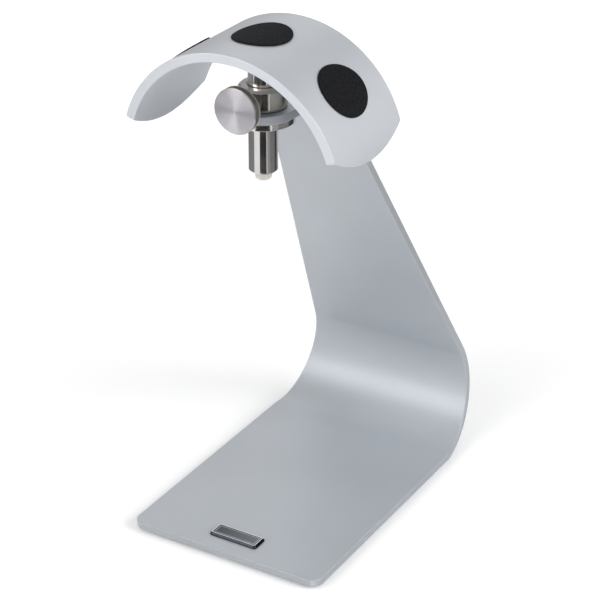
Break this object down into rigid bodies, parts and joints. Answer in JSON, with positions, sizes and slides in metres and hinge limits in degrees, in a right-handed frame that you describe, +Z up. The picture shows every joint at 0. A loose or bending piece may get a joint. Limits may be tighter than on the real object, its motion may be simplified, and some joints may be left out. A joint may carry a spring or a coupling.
{
  "type": "headphone stand",
  "caption": "Desk headphone stand: bent silver plate with a leaning tapered mast and a clamped, height-adjustable, swivelling post under a padded arch.",
  "frame": {"origin": "on the surface the feet stand on, below the middle of the stand's footprint", "axes": "+Z up; -Y towards the user, the side with the badge and the thumb screw; +X to the right seen from the front, the way the arch spans"},
  "size_m": [0.1174, 0.1778, 0.2669],
  "materials": {
    "silver_coat": "fine satin powder coat, silver grey",
    "arch_coat": "fine satin silver coat over rolled aluminium",
    "stainless": "turned stainless, fine lathe marks",
    "turned_steel": "faced on a lathe, fine concentric marks, knurled rim",
    "black_felt": "short matted felt",
    "rubber": "matt",
    "cream_nylon": "smooth moulded nylon",
    "fibre": "pressed black fibre",
    "brass": "turned",
    "badge_metal": "dark chrome, bevelled rim",
    "badge_field": "dark brushed field, blank",
    "adhesive": "double-sided film"
  },
  "bodies": {
    "stand": {"stand_plate": "silver_coat", "badge_plate": "badge_metal", "badge_inlay": "badge_field", "badge_tape": "adhesive", "clamp_collar": "stainless", "collar_seat_washer": "fibre", "ring_nut": "stainless", "foot_front_left": "rubber", "foot_front_right": "rubber", "foot_rear_left": "rubber", "foot_rear_right": "rubber", "foot_tape_front_left": "adhesive", "foot_tape_front_right": "adhesive", "foot_tape_rear_left": "adhesive", "foot_tape_rear_right": "adhesive"},
    "post_carrier": {"post_end_plug": "cream_nylon"},
    "arch_assembly": {"post": "stainless", "arch_plate": "arch_coat", "arch_screw": "stainless", "pad_left": "black_felt", "pad_centre": "black_felt", "pad_right": "black_felt", "pad_tape_left": "adhesive", "pad_tape_centre": "adhesive", "pad_tape_right": "adhesive"},
    "clamp_tip": {"pressure_tip": "brass"},
    "thumb_screw": {"thumb_knob": "turned_steel", "thumb_stud": "stainless"}
  },
  "joints": [
    {"name": "post_height", "type": "slide", "parent": "stand", "child": "post_carrier", "axis": [0, 0, 1], "range_m": [-0.006, 0.026]},
    {"name": "arch_swivel", "type": "hinge", "parent": "post_carrier", "child": "arch_assembly", "pos_m": [0, -0.0467, 0.2], "axis": [0, 0, 1], "continuous": true},
    {"name": "clamp_travel", "type": "slide", "parent": "stand", "child": "clamp_tip", "axis": [0, -1, 0], "range_m": [0, 0.002]},
    {"name": "clamp_turn", "type": "hinge", "parent": "clamp_tip", "child": "thumb_screw", "pos_m": [0, -0.06, 0.2362], "axis": [0, -1, 0], "range_deg": [0, 721]}
  ],
  "couplings": [
    {"joint": "clamp_turn", "follows": "clamp_travel", "rad_per_m": 6283.2}
  ]
}
